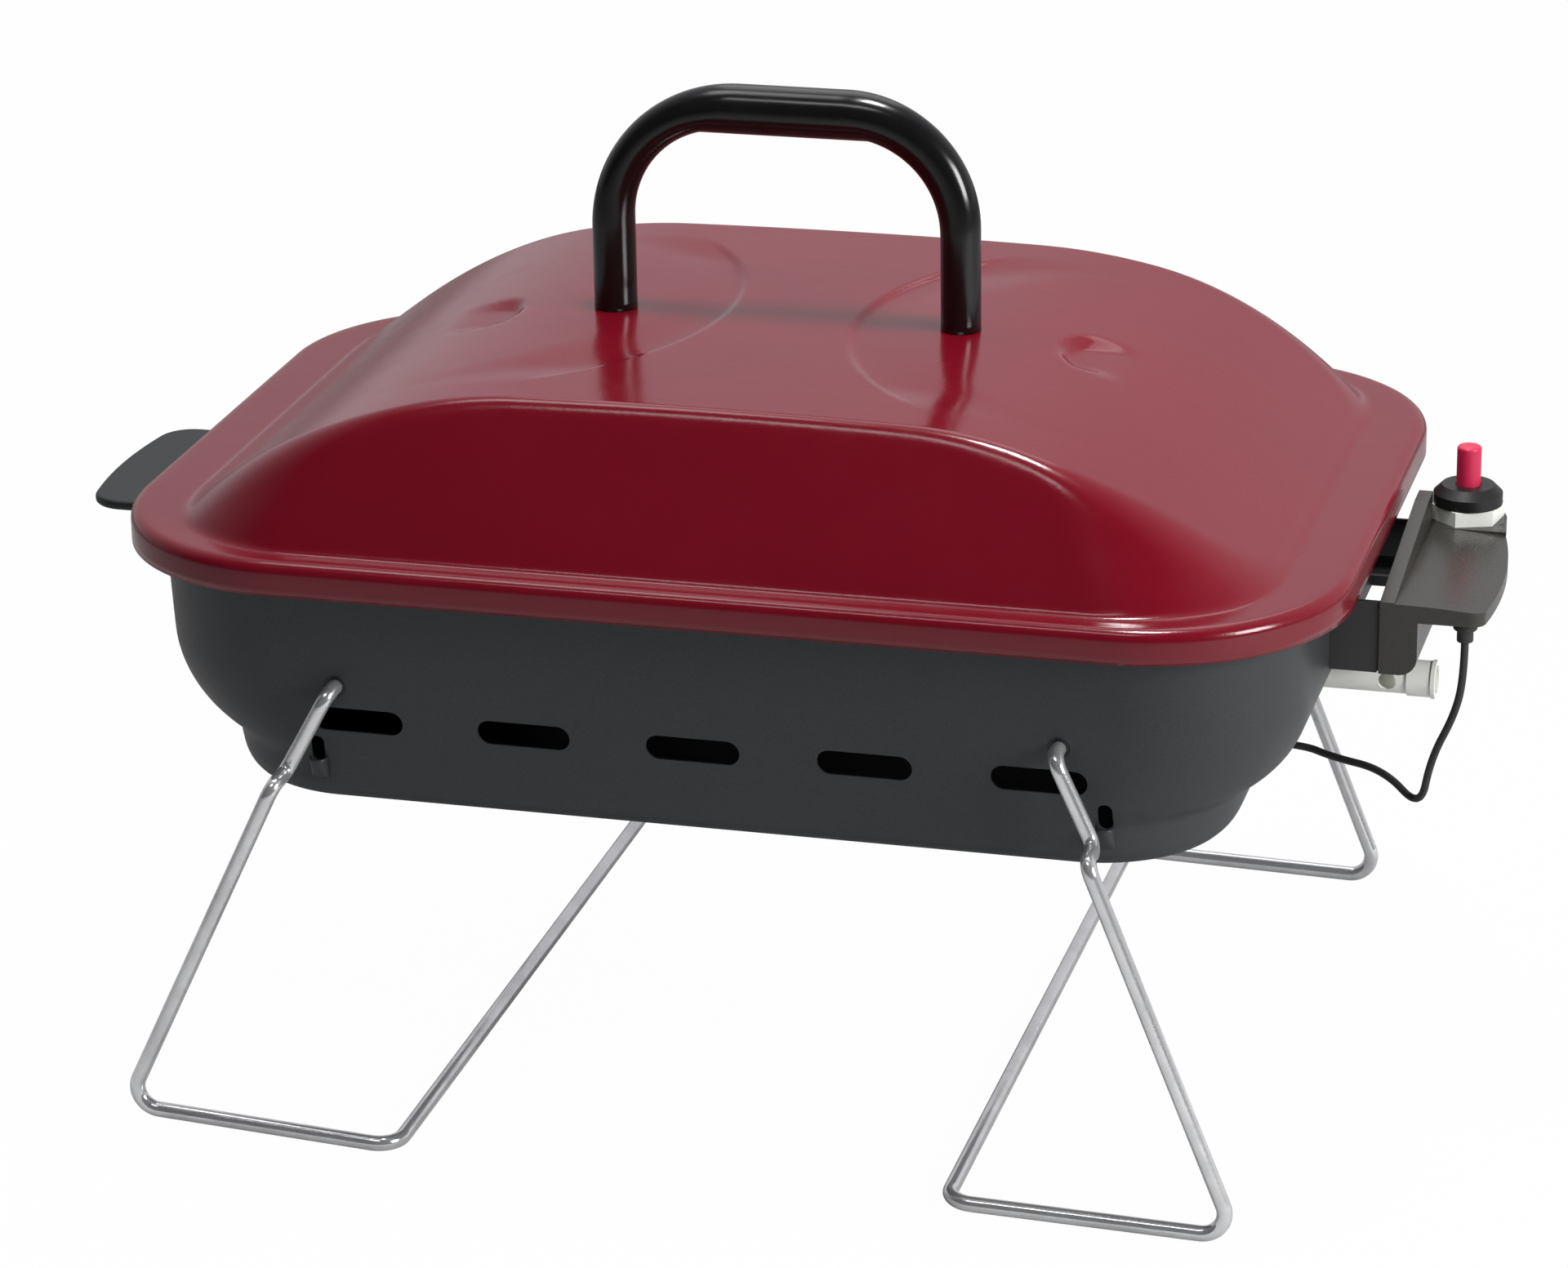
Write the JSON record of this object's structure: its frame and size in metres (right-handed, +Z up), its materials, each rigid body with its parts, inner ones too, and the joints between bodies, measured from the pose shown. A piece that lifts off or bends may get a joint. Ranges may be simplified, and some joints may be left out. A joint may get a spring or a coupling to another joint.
{
  "type": "portable gas barbecue grill",
  "caption": "Table-top gas barbecue with a domed steel lid, pan-shaped bowl, folding wire legs, push-button igniter and side grips",
  "frame": {"origin": "on the standing surface, under the middle of the grill's overall length and width", "axes": "+X along the length towards the gas inlet and igniter, +Y to the back, +Z up"},
  "size_m": [0.568, 0.3494, 0.3862],
  "materials": {
    "red_enamel": "gloss",
    "charcoal_enamel": "satin",
    "black_moulding": "gloss",
    "chrome_wire": "bright",
    "grid_chrome": "bright",
    "zinc": "zinc plated",
    "grip_plastic": "fine texture",
    "lug_plastic": "fine texture",
    "strap_paint": "satin",
    "burner_steel": "plain",
    "plate_steel": "plain",
    "support_steel": "plain",
    "red_plastic": "satin",
    "black_plastic": "satin",
    "white_ceramic": "plain",
    "black_rubber": "matte"
  },
  "bodies": {
    "grill_body": {"bowl": "charcoal_enamel", "left_grid_support": "support_steel", "right_grid_support": "support_steel", "left_side_screws": "zinc", "right_side_screws": "zinc", "lug_handle": "lug_plastic", "side_bracket": "strap_paint", "bracket_spacers": "strap_paint", "control_housing": "grip_plastic", "igniter_barrel": "black_plastic", "igniter_nut": "zinc", "igniter_collar": "black_plastic", "gas_tube": "zinc", "jet_cup": "zinc", "burner": "burner_steel", "burner_bracket": "support_steel", "burner_screws": "zinc", "floor_nuts": "zinc", "electrode_bracket": "support_steel", "electrode_screw": "zinc", "electrode_ceramic": "white_ceramic", "spark_electrode": "burner_steel", "lead_terminal": "black_rubber", "lead_boot": "black_rubber", "igniter_lead": "black_rubber", "heat_plate": "plate_steel", "cooking_grid": "grid_chrome"},
    "lid": {"lid": "red_enamel", "lid_handle": "black_moulding", "handle_washers": "zinc", "handle_screws": "zinc"},
    "left_leg": {"left_leg": "chrome_wire", "left_leg_clips": "zinc"},
    "right_leg": {"right_leg": "chrome_wire", "right_leg_clips": "zinc"},
    "ignition_button": {"ignition_button": "red_plastic"}
  },
  "joints": [
    {"name": "lid_lift", "type": "slide", "parent": "grill_body", "child": "lid", "axis": [0, 0, 1], "range_m": [0, 0.2]},
    {"name": "left_leg_fold", "type": "hinge", "parent": "grill_body", "child": "left_leg", "pos_m": [-0.1405, 0, 0.183], "axis": [0, 1, 0], "range_deg": [0, 195.8]},
    {"name": "right_leg_fold", "type": "hinge", "parent": "grill_body", "child": "right_leg", "pos_m": [0.1405, 0, 0.183], "axis": [0, -1, 0], "range_deg": [0, 200]},
    {"name": "button_press", "type": "slide", "parent": "grill_body", "child": "ignition_button", "axis": [0, 0, -1], "range_m": [0, 0.005], "stiffness_N_per_m": 900, "springref_m": -0.001}
  ]
}
